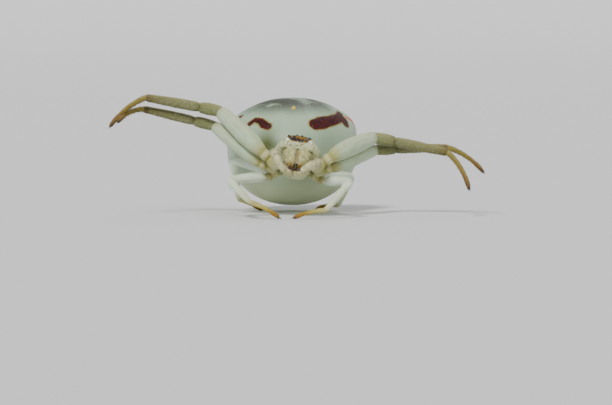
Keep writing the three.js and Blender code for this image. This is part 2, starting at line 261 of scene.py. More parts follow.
# Head and chest: the rim over the jaws stands out and the face below it is drawn in
head = {"levels": 84, "headings": 130, "poleGap": 0.06}
brow = {
    "height": 0.76, "reach": 0.055, "rise": 0.07, "drawnIn": 0.12, "drawnFrom": (0.02, 0.16),
    "halfWidth": 1.0, "sidesFrom": 0.7, "ahead": (0.5, 1.2),
}
upperRidge = {"height": 0.95, "reach": 0.04, "rise": 0.03}
groove = {  # the furrow that sets the head off from the chest
    "reach": 0.1, "depth": 0.05, "apart": 0.62, "splay": 0.35, "above": (0.7, 1.1), "behind": (-1.0, -0.4),
}


def headForm(points):
    x, y, z = np.moveaxis(points, -1, 0)
    sides = smooth(np.abs(x), brow["sidesFrom"] * brow["halfWidth"], brow["halfWidth"])
    ahead = smooth(-y, *brow["ahead"]) * (1 - sides)
    rim = sum(r["rise"] * np.exp(-((z - r["height"]) / r["reach"]) ** 2) for r in (brow, upperRidge))
    below = brow["drawnIn"] * smooth(brow["height"] - z, *brow["drawnFrom"])
    flank = np.abs(np.abs(x) - groove["apart"] - groove["splay"] * (-y)) / groove["reach"]
    furrow = groove["depth"] * np.exp(-flank ** 2) * smooth(z, *groove["above"])
    furrow = furrow * smooth(y, *groove["behind"])
    return points + np.stack([0 * x, (below - rim) * ahead, -furrow], -1)


shell = carapacePoint(allRound(head["headings"])[None], eased(head["levels"], head["poleGap"])[:, None])
shell = onProsoma(headForm(shell * (carapace["inset"], carapace["inset"], 1)))
clay.add(shell, shell[0].mean(0), shell[-1].mean(0), onHead=1)

oval = {"rings": 28, "sides": 32, "poleGap": 0.1}
ovals = [  # centre and half sizes in the frame of the head, and the marks
    ((0, 0.05, -0.72), (0.7, 0.98, 0.25), {"onHead": 1}),  # breastplate
    ((0, -1.16, -0.66), (0.19, 0.29, 0.145), {"onMouth": 1}),  # lower lip
    # the lining fills the gap behind the jaws and takes their painted dark shade there
    ((0, -1.34, -0.34), (0.3, 0.24, 0.2), {"onMouth": 1, "onJaw": 1}),  # lining behind the jaws
]
turn, angle = np.linspace(oval["poleGap"], math.pi - oval["poleGap"], oval["rings"]), allRound(oval["sides"])
ball = np.stack(np.broadcast_arrays(
    np.sin(turn)[:, None] * np.cos(angle), np.sin(turn)[:, None] * np.sin(angle), -np.cos(turn)[:, None],
), -1)
for centre, half, marks in ovals:
    points = onProsoma(ball * half + centre)
    clay.add(points, points[0].mean(0), points[-1].mean(0), **marks)

# Mouthparts: jaws and maxillae for the left side in the frame of the head, palps in the animal's
ovalOutline = [(0, 0.72), (0.5, 1), (1, 0.72)]
jaws = {
    "root": (0.46, -1.32, 0.72), "tip": (0.23, -1.68, -0.38), "radius": 0.45, "rings": 30,
    "outline": [(0, 0.66), (0.16, 0.92), (0.3, 0.96), (0.5, 0.88), (0.7, 0.76), (0.9, 0.62), (1, 0.52)],
}
maxilla = {"root": (0.8, -0.72, -0.42), "tip": (0.24, -1.42, -0.68), "radius": 0.245, "rings": 20}
palps = {
    "left": ((0.85, -1.05, 2.72), (1.28, -1.8, 3.28), (0.2, -2.36, 2.76)),
    "right": ((-0.98, -1.05, 2.98), (-1.36, -1.78, 3.86), (-0.76, -2.12, 2.72)),
    "radius": 0.23, "rings": 16,
    "joints": [  # stretch of the palp's length, then its outline
        ((0.0, 0.34), [(0, 0.5), (0.5, 0.78), (1, 0.62)]),
        ((0.33, 0.5), [(0, 0.56), (0.5, 0.8), (1, 0.62)]),
        ((0.49, 0.7), [(0, 0.58), (0.6, 0.92), (1, 0.72)]),
        ((0.69, 1.0), [(0, 0.66), (0.3, 0.98), (0.7, 0.86), (1, 0.5)]),
    ],
}
for sideName, side in bothSides:
    root, tip = (onProsoma(jaws[end], side) for end in ("root", "tip"))
    limb(clay, bowed(root, tip), (0, 1), jaws["radius"], jaws["outline"], jaws["rings"], kind="jaw",
         onMouth=1, onJaw=1)
    root, tip = (onProsoma(maxilla[end], side) for end in ("root", "tip"))
    limb(clay, bowed(root, tip), (0, 1), maxilla["radius"], ovalOutline, maxilla["rings"], onMouth=1)
    start, knee, end = (np.array(p) for p in palps[sideName])
    curve = bezier(start, 2 * knee - (start + end) / 2, end)
    for stretch, outline in palps["joints"]:
        limb(clay, curve, stretch, palps["radius"], outline, palps["rings"], kind="palp", onMouth=1)
print("head and mouthparts modelled")

# Abdomen with the dimples of its back: share of its length and angle round it, in degrees
bag = {"rings": 120, "sides": 170, "poleGap": 0.05}
dimples = {
    "places": [(0.43, 90), (0.52, 72), (0.52, 108), (0.7, 74), (0.7, 106)], "reach": 0.16, "depth": 0.05,
}
bagMiddle = np.array([abdomen["centreX"], abdomen["frontY"] + 0.5 * abdomen["length"], abdomen["centreZ"]])
share = eased(bag["rings"], bag["poleGap"]) ** (math.log(abdomen["widestAt"]) / math.log(0.5))
points = abdomenPoint(share[:, None], allRound(bag["sides"])[None])
for at, turnDeg in dimples["places"]:
    sunk = dimples["depth"] * hill(points, abdomenPoint(at, math.radians(turnDeg)), dimples["reach"])
    points = points + unit(bagMiddle - points) * sunk[..., None]
points = bagMiddle + (points - bagMiddle) * abdomen["inset"]
clay.add(points, points[0].mean(0), points[-1].mean(0), onAbdomen=1)

waist = {"root": (0, 1.5, -0.05), "inside": 0.35, "drop": 0.5, "radius": 0.29, "rings": 16}
waistEnd = (abdomen["centreX"], abdomen["frontY"] + waist["inside"], abdomen["centreZ"] - waist["drop"])
limb(clay, bowed(onProsoma(waist["root"]), np.array(waistEnd)), (0, 1), waist["radius"], ovalOutline,
     waist["rings"], onHead=1)

spinnerets = {
    "place": (0.93, -90), "rings": 14, "sides": 18, "outline": [(0, 1), (0.6, 0.86), (1, 0.5)],
    "cones": [  # root and tip measured from the place, then thickness
        ((0.0, -0.2, 0.25), (0.0, 0.16, -0.1), 0.33),
        ((0.13, 0.0, 0.02), (0.12, 0.3, -0.3), 0.12), ((-0.13, 0.0, 0.02), (-0.12, 0.3, -0.3), 0.12),
        ((0.11, 0.18, 0.02), (0.1, 0.5, -0.28), 0.1), ((-0.11, 0.18, 0.02), (-0.1, 0.5, -0.28), 0.1),
    ],
}
place = abdomenPoint(spinnerets["place"][0], math.radians(spinnerets["place"][1]))
for root, tip, thickness in spinnerets["cones"]:
    limb(clay, bowed(place + root, place + tip), (0, 1), thickness, spinnerets["outline"],
         spinnerets["rings"], sides=spinnerets["sides"], onHead=1)
print("abdomen modelled")

# Legs: roots and hips on the chest, lengths and thickest radii of coxa, femur, tibia, tarsus
legPairs = {
    1: {"root": (0.95, -0.72, -0.42), "hip": (2.0, -0.95, 0.42), "lengths": (4.1, 4.5, 3.4),
        "radii": (0.36, 0.56, 0.38, 0.26), "bow": 1},
    2: {"root": (1.05, -0.12, -0.48), "hip": (2.1, -0.2, -0.18), "lengths": (4.1, 4.35, 3.2),
        "radii": (0.34, 0.5, 0.35, 0.25), "bow": 1},
    3: {"root": (0.95, 0.42, -0.52), "hip": (1.65, 0.55, -0.95), "lengths": (2.6, 2.2, 2.0),
        "radii": (0.29, 0.31, 0.27, 0.24), "bow": 0.6},
    4: {"root": (0.78, 0.92, -0.5), "hip": (1.35, 1.2, -0.6), "lengths": (2.9, 2.7, 2.45),
        "radii": (0.3, 0.31, 0.27, 0.24), "bow": 0.6},
}
# Heading and rise of femur, tibia and tarsus; a tarsus without a rise reaches down to the floor
stance = {
    "leg1_right": ((137.5, 34.5), (182.5, 10.5), (-132, -29.5)),
    "leg2_right": ((141, 31), (182.5, 13.5), (-115, -13)),
    "leg1_left": ((50, 14.5), (-9, -11), (-64.5, -38)),
    "leg2_left": ((49.5, 13.5), (-5, 2), (-46, -26)),
    "leg3_right": ((-145.5, -2), (-51, -33), (-10.5,)),
    "leg3_left": ((-53.5, 1.5), (-165.5, -48), (-163,)),
    "leg4_right": ((147, 13), (75.5, -60.5), (54.5,)),
    "leg4_left": ((48, -3), (111.5, -41), (122.5,)),
}
frontPairs = (1, 2)
bows = (0, 0.12, 0.02, 0.2)  # how far coxa, femur, tibia and tarsus bow
soleShare = 0.45 * 0.58  # height of a standing foot's tip, as a share of its thickest radius
# Piece, the solid segment it lies in, its stretch of that, its rings and its outline
legPieces = [
    ("coxa", 0, (0.0, 0.66), 22, [(0, 0.84), (0.4, 0.98), (0.8, 0.9), (1, 0.74)]),
    ("trochanter", 0, (0.6, 1.06), 22, [(0, 0.72), (0.4, 0.9), (0.8, 0.86), (1, 0.72)]),
    ("femur", 1, (-0.03, 1.01), 50,
     [(0, 0.52), (0.1, 0.72), (0.22, 0.88), (0.42, 0.97), (0.7, 0.88), (0.92, 0.76), (1, 0.62)]),
    ("patella", 2, (-0.05, 0.3), 22, [(0, 0.72), (0.25, 0.9), (0.6, 0.98), (0.9, 0.86), (1, 0.7)]),
    ("tibia", 2, (0.26, 1.01), 50,
     [(0, 0.66), (0.12, 0.8), (0.4, 0.8), (0.75, 0.68), (0.94, 0.6), (1, 0.5)]),
    ("metatarsus", 3, (-0.03, 0.67), 50, [(0, 0.56), (0.08, 0.66), (0.4, 0.58), (0.85, 0.52), (1, 0.46)]),
    ("tarsus", 3, (0.64, 0.985), 22, [(0, 0.44), (0.25, 0.56), (0.6, 0.54), (0.85, 0.44), (1, 0.3)]),
]
spanOfPiece = (0.02, 0.98)  # legPlace runs over these shares of each piece's own number


def jointsOf(pair, side, angles):
    joints = [onProsoma(pair[place], side, prosoma["legRoll"]) for place in ("root", "hip")]
    for length, (headingDeg, *rise) in zip(pair["lengths"], angles):
        start = joints[-1]
        sole = soleShare * pair["radii"][3]
        riseRad = math.radians(rise[0]) if rise else -math.asin((start[2] - sole) / length)
        turn = math.radians(headingDeg)
        flat = math.cos(riseRad)
        line = np.array([flat * math.cos(turn), flat * math.sin(turn), math.sin(riseRad)])
        joints.append(start + line * length)
    return joints


feet = []  # number of the pair and curve of the last segment
for number, pair in legPairs.items():
    for sideName, side in bothSides:
        joints = jointsOf(pair, side, stance[f"leg{number}_{sideName}"])
        segments = [bowed(joints[i], joints[i + 1], pair["bow"] * bows[i]) for i in range(4)]
        feet.append((number, segments[3]))
        run = 0.0
        for index, (piece, segment, stretch, rings, outline) in enumerate(legPieces):
            kind = ("front " if number in frontPairs else "rear ") + piece
            span = [index + end for end in spanOfPiece]
            run += limb(clay, segments[segment], stretch, pair["radii"][segment], outline, rings,
                        kind=kind, span=span, frontLeg=number in frontPairs, run=run)
print("legs modelled")


def newObject(name, points, faces):
    mesh = bpy.data.meshes.new(name)
    mesh.from_pydata(points.tolist(), [], faces)
    thing = bpy.data.objects.new(name, mesh)
    bpy.context.scene.collection.objects.link(thing)
    return thing


# Scales a finished shape down and sets it into the shared frame
def settle(thing, points):
    thing.data.vertices.foreach_set("co", ((points + shift) * mm).ravel())
    thing.data.update()
    thing.data.shade_smooth()


# Stores values at the points of a mesh, for its material to read
def carry(mesh, values):
    for name, value in values.items():
        layer = mesh.attributes.new(name, "FLOAT", "POINT")
        layer.data.foreach_set("value", np.ascontiguousarray(value, np.float32))


def gather(items, name, width, kind=float):
    values = np.empty(len(items) * width, kind)
    items.foreach_get(name, values)
    return values.reshape(-1, width)


# One skin over all of it
skinShape = {"voxel": 0.043, "smoothing": 4, "softness": 0.5}
skin = newObject("skin", np.concatenate(clay.points), clay.faces)
fuse = skin.modifiers.new("fuse", "REMESH")
fuse.mode = "VOXEL"
fuse.voxel_size = skinShape["voxel"]
soften = skin.modifiers.new("soften", "SMOOTH")
soften.iterations = skinShape["smoothing"]
soften.factor = skinShape["softness"]
finished = bpy.data.meshes.new_from_object(skin.evaluated_get(bpy.context.evaluated_depsgraph_get()))
skin.modifiers.clear()
skin.data = finished
skinPoints = gather(finished.vertices, "co", 3)
skinNormals = gather(finished.vertex_normals, "vector", 3)
edges = gather(finished.edges, "vertices", 2, int)
degree = np.bincount(edges.ravel(), minlength=len(skinPoints))
print("skin fused,", len(skinPoints), "points")

nearest = KDTree(clay.count)
for n, point in enumerate(np.concatenate(clay.points)):
    nearest.insert(point, n)
nearest.balance()
closest = np.array([nearest.find(point)[1] for point in skinPoints])
fields = dict(zip(tags, np.concatenate(clay.tags)[closest].T))


# Evens out a value over the skin's own edges
def spread(values, times, share=0.6):
    for _ in range(times):
        total = np.bincount(edges[:, 0], values[edges[:, 1]], len(values))
        total += np.bincount(edges[:, 1], values[edges[:, 0]], len(values))
        values = (1 - share) * values + share * total / degree
    return values


# Marks on the abdomen: share of its length, angle round it and half width at each place
marksOnBag = {
    "bars": [
        [(0.142, 56, 0.4), (0.182, 51.5, 0.45), (0.261, 45, 0.38), (0.384, 41.4, 0.34),
         (0.42, 38, 0.38), (0.41, 34, 0.34)],
        [(0.396, 42, 0.3), (0.475, 44.5, 0.22)],
        [(0.264, 140.5, 0.2), (0.257, 133.2, 0.19), (0.209, 129.5, 0.22), (0.16, 128.8, 0.27),
         (0.128, 126.3, 0.24)],
        [(0.461, 139.3, 0.12), (0.48, 141, 0.12)],
    ],
    "rim": [[(0.5, 38, 0.08), (0.58, 30, 0.16), (0.58, 20, 0.1)]],
    "yellow": [[(0.275, 88.5, 0.1), (0.3, 88.3, 0.07)]],
}
offBag = {"slack": 0.05, "distance": 9}  # keeps the marks off whatever lies before the abdomen


# Distance in millimetres to a line over the abdomen, less its half width there
def fromLine(points, line):
    best = np.full(len(points), np.inf)
    places = [abdomenPoint(share, math.radians(turnDeg)) for share, turnDeg, _ in line]
    places = [bagMiddle + (place - bagMiddle) * abdomen["inset"] for place in places]
    for a, b, (_, _, wide), (_, _, narrow) in zip(places, places[1:], line, line[1:]):
        t = np.clip((points - a) @ (b - a) / ((b - a) @ (b - a)), 0, 1)
        away = np.linalg.norm(points - a - t[:, None] * (b - a), axis=1)
        best = np.minimum(best, away - mix(wide, narrow, t))
    return best


# Eyes: heading round the head in degrees, level and radius
eyes = {
    "front_middle": (9, 0.76, 0.075), "front_side": (24, 0.81, 0.1),
    "rear_middle": (12, 0.955, 0.07), "rear_side": (44, 0.925, 0.085),
}
eyeProud = -0.2  # share of an eye's radius that its centre stands above the skin


def eyePlace(headingDeg, level, radius, side):
    turnStep, levelStep = 0.02, 0.01
    heading = side * math.radians(headingDeg)
    surface = carapacePoint(heading, level)
    turn = carapacePoint(heading + turnStep, level) - surface
    lift = carapacePoint(heading, level + levelStep) - surface
    outward = unit(np.cross(lift, turn))
    if outward @ surface < 0:
        outward = -outward
    return surface + outward * eyeProud * radius


eyePlaces = {
    f"eye_{row}_{sideName}": (eyePlace(*eye, side), eye[2])
    for row, eye in eyes.items() for sideName, side in bothSides
}

# The brown band of the eyes and the white corners under the horns, in the frame of the head
band = {"low": 1.13, "lowHalfWidth": 0.43, "spread": 1.2, "back": -0.85}
corner = {"place": (0.77, -1.5, 1.3), "radius": 0.2}
# where the jaws are tipped, and the width of the painted shade down the seam between them
jawMarks = {"tip": (-0.35, 0.4), "gapShade": (0.02, 0.26)}
# Painted olive shade on the front of the abdomen, either side of the head, where the head and legs shade it:
# place, reach and strength
paintedOliveShade = [((-1.75, 2.3, 4.1), 0.95, 0.95), ((1.7, 2.6, 4.2), 1.1, 0.28), ((0.2, 1.9, 3.2), 1.5, 0.5)]
# painted shade in creases and hollows: a hollow this deep, in millimetres, gets the full shade
creaseShadows = {"steps": 14, "depth": 0.018}  # a hollow this deep, in millimetres, is marked in full
blurred = 2  # rounds of evening out that soften the edges between parts

for tag in ("legPlace", "frontLeg", "onAbdomen", "onHead", "onMouth"):
    fields[tag] = spread(fields[tag], blurred)
inHead = intoHead(skinPoints)
x, y, z = inHead.T
fields["jawPlace"] = smooth(-z, *jawMarks["tip"]) * fields["onJaw"]
# painted shade down the seam between the jaws
fields["jawSeam"] = (1 - smooth(np.abs(x), *jawMarks["gapShade"])) * spread(fields["onJaw"], blurred)
# painted shade on the front of the abdomen near the head
shades = [strength * hill(skinPoints, place, reach) for place, reach, strength in paintedOliveShade]
fields["nearHead"] = np.max(shades, axis=0)
softened = np.stack([spread(skinPoints[:, n], creaseShadows["steps"]) for n in range(3)], -1)
# painted shade: how deep each point lies in a crease or hollow
fields["crease"] = spread(((softened - skinPoints) * skinNormals).sum(1) / creaseShadows["depth"], 1)
off = np.where(skinPoints[:, 1] > abdomen["frontY"] - offBag["slack"], 0, offBag["distance"])
for name, lines in marksOnBag.items():
    fields[name] = np.min([fromLine(skinPoints, line) for line in lines], axis=0) + off
flanks = np.abs(x) - band["lowHalfWidth"] - band["spread"] * (z - band["low"])
fields["eyeBand"] = np.maximum.reduce([flanks, band["low"] - z, y - band["back"]])
cornerGaps = [np.linalg.norm(inHead - mirrored(corner["place"], side), axis=1) for _, side in bothSides]
fields["corners"] = np.min(cornerGaps, axis=0) - corner["radius"]
eyeGaps = [np.linalg.norm(inHead - place, axis=1) - radius for place, radius in eyePlaces.values()]
fields["eyeRing"] = np.min(eyeGaps, axis=0)

carry(finished, fields)
settle(skin, skinPoints)
fleshNodes = [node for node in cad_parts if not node.startswith(("eye_", "fang_"))]
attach(skin, "root")
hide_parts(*fleshNodes)
print("skin marked")


# Shader maths: a socket that takes part in Python expressions
class Signal:
    def __init__(self, finish, socket):
        self.finish, self.socket = finish, socket

    def run(self, operation, first, second):
        return self.finish.add("ShaderNodeMath", {"operation": operation}, {0: first, 1: second})

    def __add__(self, other):
        return self.run("ADD", self, other)

    def __radd__(self, other):
        return self.run("ADD", other, self)

    def __sub__(self, other):
        return self.run("SUBTRACT", self, other)

    def __rsub__(self, other):
        return self.run("SUBTRACT", other, self)

    def __mul__(self, other):
        return self.run("MULTIPLY", self, other)

    def __rmul__(self, other):
        return self.run("MULTIPLY", other, self)


class Finish:
    def __init__(self, name, **constants):
        self.material = bpy.data.materials.new(name)
        self.material.use_nodes = True
        self.tree = self.material.node_tree
        self.shader = self.tree.nodes["Principled BSDF"]
        for socket, value in constants.items():
            self.shader.inputs[socket.replace("_", " ")].default_value = value

    # Links a signal to one of the shader's sockets, or sets its value
    def feed(self, socket, value):
        if isinstance(value, Signal):
            self.tree.links.new(value.socket, socket)
        else:
            socket.default_value = value

    def add(self, kind, settings=None, inputs=None, output=0):
        node = self.tree.nodes.new(kind)
        for name, value in (settings or {}).items():
            if name == "stops":
                self.setStops(node.color_ramp, value)
            else:
                setattr(node, name, value)
        for name, value in (inputs or {}).items():
            self.feed(node.inputs[name], value)
        return Signal(self, node.outputs[output])

    def setStops(self, ramp, stops):
        while len(ramp.elements) < len(stops):
            ramp.elements.new(0.5)
        for element, (position, colour) in zip(ramp.elements, stops):
            element.position = position
            element.color = colour

    def field(self, name):
        return self.add("ShaderNodeAttribute", {"attribute_name": name}, output="Fac")

    def ramp(self, value, stops):
        return self.add("ShaderNodeValToRGB", {"stops": stops}, {"Fac": value})

    def blend(self, mask, under, over):
        settings = {"data_type": "RGBA", "clamp_factor": True}
        return self.add("ShaderNodeMix", settings, {0: mask, 6: under, 7: over}, output=2)

    # Rises from 0 at the start to 1 at the end
    def fade(self, value, start, end):
        settings = {"interpolation_type": "SMOOTHSTEP"}
        return self.add("ShaderNodeMapRange", settings, {"Value": value, "From Min": start, "From Max": end})

    # The other way round: 1 up to the start and 0 from the end
    def within(self, value, start, end):
        return 1 - self.fade(value, start, end)

    def noise(self, place, scale, detail, roughness=0.55):
        inputs = {"Vector": place, "Scale": scale, "Detail": detail, "Roughness": roughness}
        return self.add("ShaderNodeTexNoise", {}, inputs)

    def millimetres(self):
        place = self.add("ShaderNodeTexCoord", output="Object")
        return self.add("ShaderNodeVectorMath", {"operation": "SCALE"}, {0: place, "Scale": 1 / mm})

    def upward(self, vector):
        return self.add("ShaderNodeSeparateXYZ", {}, {0: vector}, output="Z")

    # Coordinates that run along each leg and round it, for streaks
    def grain(self, stretch=(0.9, 7.0, 7.0)):
        parts = [self.field(name) for name in ("grainX", "grainY", "grainZ")]
        inputs = {n: part * size for n, (part, size) in enumerate(zip(parts, stretch))}
        return self.add("ShaderNodeCombineXYZ", {}, inputs)

    def bump(self, height, distance, strength):
        inputs = {"Height": height, "Distance": distance * mm, "Strength": strength}
        return self.add("ShaderNodeBump", {}, inputs)

    def wear(self, thing):
        thing.data.materials.clear()
        thing.data.materials.append(self.material)


# A display colour from 0 to 255 as the shader takes it
def paint(red, green, blue):
    def linear(c):
        c = c / 255
        return c / 12.92 if c < 0.04045 else ((c + 0.055) / 1.055) ** 2.4
    return (linear(red), linear(green), linear(blue), 1)


# Mottling that the whole skin shares: scale per millimetre, detail and roughness of each noise,
# and how far the two together shift the edges of marks
mottling = {
    "fine": (6.0, 4, 0.6), "speck": (16.0, 2), "fineSway": 0.24, "speckSway": 0.08, "swayMiddle": 0.16,
}

# Abdomen: pale, with greyish clouds on the back, painted shade darkening the top of the back, a yellower
# underside and dark bars with a rim
abdomenLook = {
    # clouds: colour of the greyish clouds and also of the painted shade on the top of the back
    "base": paint(166, 188, 160), "clouds": paint(36, 40, 16), "cloudNoise": (0.55, 4), "fineShare": 0.15,
    "cloudLimits": (0.4, 0.56), "cloudsAllOver": 0.05, "backHeight": (5.6, 6.6), "paintedTopShade": 0.22,
    "backClouds": 0.7, "belly": paint(210, 220, 176), "bellyHeight": (0.6, 3.0), "bellyShare": 0.85,
    # olive: colour of the painted shade on the front of the abdomen near the head
    "paintedOliveShade": paint(74, 80, 14),
    "bar": paint(78, 4, 0), "barDeep": paint(22, 1, 0), "deepLimits": (0.4, 0.62), "barEnd": (-0.045, 0.01),
    "edge": paint(140, 116, 10), "edgeEnd": (0.0, 0.12), "edgeShare": 0.85,
    "rim": paint(206, 52, 52), "rimEnd": (0.0, 0.07), "rimShare": 0.8,
    "yellow": paint(196, 170, 24), "yellowEnd": (0.0, 0.05),
}


def abdomenColour(finish, place, fine, wobble):
    look = abdomenLook
    cloud = finish.noise(place, *look["cloudNoise"])
    clouds = finish.fade(cloud * (1 - look["fineShare"]) + fine * look["fineShare"], *look["cloudLimits"])
    height = finish.upward(place)
    back = finish.fade(height, *look["backHeight"])
    # the top of the back: painted shade all over it, and the real greyish clouds darker still
    shade = look["cloudsAllOver"] * clouds + back * (look["paintedTopShade"] + look["backClouds"] * clouds)
    body = finish.blend(shade, look["base"], look["clouds"])
    below = finish.within(height, *look["bellyHeight"])
    body = finish.blend(look["bellyShare"] * below, body, look["belly"])
    # painted olive shade on the front of the abdomen near the head
    body = finish.blend(finish.field("nearHead"), body, look["paintedOliveShade"])
    bars = finish.field("bars") + wobble
    body = finish.blend(look["edgeShare"] * finish.within(bars, *look["edgeEnd"]), body, look["edge"])
    bar = finish.blend(finish.fade(fine, *look["deepLimits"]), look["bar"], look["barDeep"])
    body = finish.blend(finish.within(bars, *look["barEnd"]), body, bar)
    rim = finish.within(finish.field("rim"), *look["rimEnd"])
    body = finish.blend(look["rimShare"] * rim, body, look["rim"])
    return finish.blend(finish.within(finish.field("yellow"), *look["yellowEnd"]), body, look["yellow"])


# Head: cream with chalky specks, white corners and the brown band of the eyes
headLook = {
    "base": paint(202, 206, 158), "shade": paint(140, 136, 66), "shadeLimits": (0.46, 0.66),
    "chalk": paint(236, 238, 218), "chalkLimits": (0.54, 0.66), "chalkShare": 0.7,
    "corner": paint(244, 246, 236), "cornerEnd": (-0.05, 0.06),
    "band": paint(34, 12, 2), "bandEnd": (-0.03, 0.05), "eyeRingEnd": (0.0, 0.035),
    "amber": paint(130, 96, 0), "amberNoise": (3.2, 2), "amberLimits": (0.43, 0.51),
}


def headColour(finish, place, fine, speck, wobble):
    look = headLook
    colour = finish.blend(finish.fade(fine, *look["shadeLimits"]), look["base"], look["shade"])
    chalk = look["chalkShare"] * finish.fade(speck, *look["chalkLimits"])
    colour = finish.blend(chalk, colour, look["chalk"])
    corners = finish.within(finish.field("corners"), *look["cornerEnd"])
    colour = finish.blend(corners, colour, look["corner"])
    blotch = finish.fade(finish.noise(place, *look["amberNoise"]), *look["amberLimits"])
    amber = finish.blend(blotch, look["band"], look["amber"])
    dark = finish.within(finish.field("eyeRing"), *look["eyeRingEnd"])
    amber = finish.blend(dark, amber, look["band"])
    inBand = finish.within(finish.field("eyeBand") + wobble, *look["bandEnd"])
    return finish.blend(inBand, colour, amber)


# Mouthparts: cream, with golden tips to the jaws, painted brown shade down the seam between them and painted
# dark shade in the gap of the mouth
mouthLook = {
    "base": paint(206, 200, 146), "jaw": paint(178, 174, 108), "jawLimits": (0.3, 0.7),
    "shadeLimits": (0.36, 0.5), "shadeShare": 0.6, "chalkLimits": (0.56, 0.64), "chalkShare": 0.6,
    "gapShade": paint(128, 98, 36), "gapShadeLimits": (0.2, 0.95), "gapShadeShare": 0.6,
    "tip": paint(138, 108, 4), "tipLimits": (0.45, 0.95), "dark": paint(44, 8, 6), "mouthShadeLimits": (0.3, 0.7),
}


def mouthColour(finish, fine):
    look = mouthLook
    onJaw = finish.fade(finish.field("onJaw"), *look["jawLimits"])
    colour = finish.blend(onJaw, look["base"], look["jaw"])
    shade = look["shadeShare"] * finish.within(fine, *look["shadeLimits"])
    colour = finish.blend(shade, colour, headLook["shade"])
    chalk = look["chalkShare"] * finish.fade(fine, *look["chalkLimits"])
    colour = finish.blend(chalk, colour, headLook["chalk"])
    # painted shade in the seam between the jaws, darkest in the gap by their tips
    gapShade = finish.fade(finish.field("jawSeam"), *look["gapShadeLimits"])
    colour = finish.blend(look["gapShadeShare"] * gapShade, colour, look["gapShade"])
    tip = finish.fade(finish.field("jawPlace"), *look["tipLimits"])
    colour = finish.blend(tip, colour, look["tip"])
    return finish.blend(finish.fade(gapShade * tip, *look["mouthShadeLimits"]), colour, look["dark"])


# Legs: stops in the middle of each piece and at the joints between them, then rings, streaks and painted
# light on the upward-facing sides
legLook = {
    "front": [
        (0.3, (196, 200, 150)), (1.0, (178, 168, 90)), (1.6, (204, 206, 152)), (2.0, (176, 164, 86)),
        (2.2, (186, 206, 170)), (2.85, (198, 214, 184)), (3.0, (178, 186, 140)), (3.12, (132, 138, 92)),
        (3.9, (112, 116, 74)), (4.02, (78, 78, 40)), (4.15, (118, 121, 80)), (4.8, (114, 110, 66)),
        (4.97, (92, 72, 22)), (5.08, (156, 146, 66)), (5.8, (150, 122, 14)), (6.02, (138, 98, 2)),
        (6.5, (132, 84, 0)), (7.0, (66, 34, 0)),
    ],
    "rear": [
        (0.3, (196, 198, 146)), (1.0, (178, 168, 100)), (2.0, (186, 186, 130)), (2.3, (238, 254, 234)),
        (3.9, (234, 248, 216)), (4.8, (228, 234, 198)), (5.1, (214, 208, 140)), (5.8, (196, 176, 64)),
        (6.1, (186, 140, 14)), (7.0, (150, 92, 4)),
    ],
    "ringed": paint(48, 28, 2), "ringPace": 108.0, "ringFrom": (5.0, 5.3), "ringLimits": (0.0, 0.8),
    "ringShare": 0.5, "streakNoise": (1.0, 3, 0.6), "streakLimits": (0.42, 0.68), "streakShare": 0.35,
    # painted light: a warm tone on the upward-facing sides of the legs
    "paintedTopLight": paint(206, 188, 116), "paintedTopLightLimits": (0.3, 0.95), "paintedTopLightShare": 0.2,
}
legSpan = float(len(legPieces))  # legPlace at the tip of the foot


def legStops(table):
    return [(place / legSpan, paint(*colour)) for place, colour in table]


def legColour(finish):
    look = legLook
    place = finish.field("legPlace")
    along = place * (1 / legSpan)
    front, rear = (finish.ramp(along, legStops(look[pair])) for pair in ("front", "rear"))
    colour = finish.blend(finish.field("frontLeg"), rear, front)
    # Dark rings of bristle roots round the outer front legs
    beat = finish.add("ShaderNodeMath", {"operation": "SINE"}, {0: place * look["ringPace"]})
    outer = finish.fade(place, *look["ringFrom"]) * finish.field("frontLeg")
    rings = look["ringShare"] * outer * finish.fade(beat, *look["ringLimits"])
    colour = finish.blend(rings, colour, look["ringed"])
    streaks = finish.fade(finish.noise(finish.grain(), *look["streakNoise"]), *look["streakLimits"])
    colour = finish.blend(look["streakShare"] * streaks, colour, headLook["shade"])
    # painted light: the upward-facing sides of the legs take a warm tone, as where light falls on them from
    # above
    facing = finish.upward(finish.add("ShaderNodeNewGeometry", output="Normal"))
    paintedTopLight = look["paintedTopLightShare"] * finish.fade(facing, *look["paintedTopLightLimits"])
    return finish.blend(paintedTopLight, colour, look["paintedTopLight"])


# The colours of the skin and of the hairs on it, from the fields that both carry
joins = {"parts": (0.3, 0.7), "abdomen": (0.4, 0.6)}
# painted shade that darkens the creases and hollows: colour, limits and share
creaseShades = {"colour": paint(100, 88, 26), "limits": (0.25, 1.5), "share": 0.75}


def skinColour(finish):
    place = finish.millimetres()
    fine, speck = (finish.noise(place, *mottling[name]) for name in ("fine", "speck"))
    wobble = mottling["fineSway"] * fine + mottling["speckSway"] * speck - mottling["swayMiddle"]
    onHead, onMouth = (finish.fade(finish.field(name), *joins["parts"]) for name in ("onHead", "onMouth"))
    colour = finish.blend(onHead, legColour(finish), headColour(finish, place, fine, speck, wobble))
    colour = finish.blend(onMouth, colour, mouthColour(finish, fine))
    # painted shade in the creases and hollows
    creaseShadow = creaseShades["share"] * finish.fade(finish.field("crease"), *creaseShades["limits"])
    colour = finish.blend(creaseShadow, colour, creaseShades["colour"])
    onAbdomen = finish.fade(finish.field("onAbdomen"), *joins["abdomen"])
    return finish.blend(onAbdomen, colour, abdomenColour(finish, place, fine, wobble))


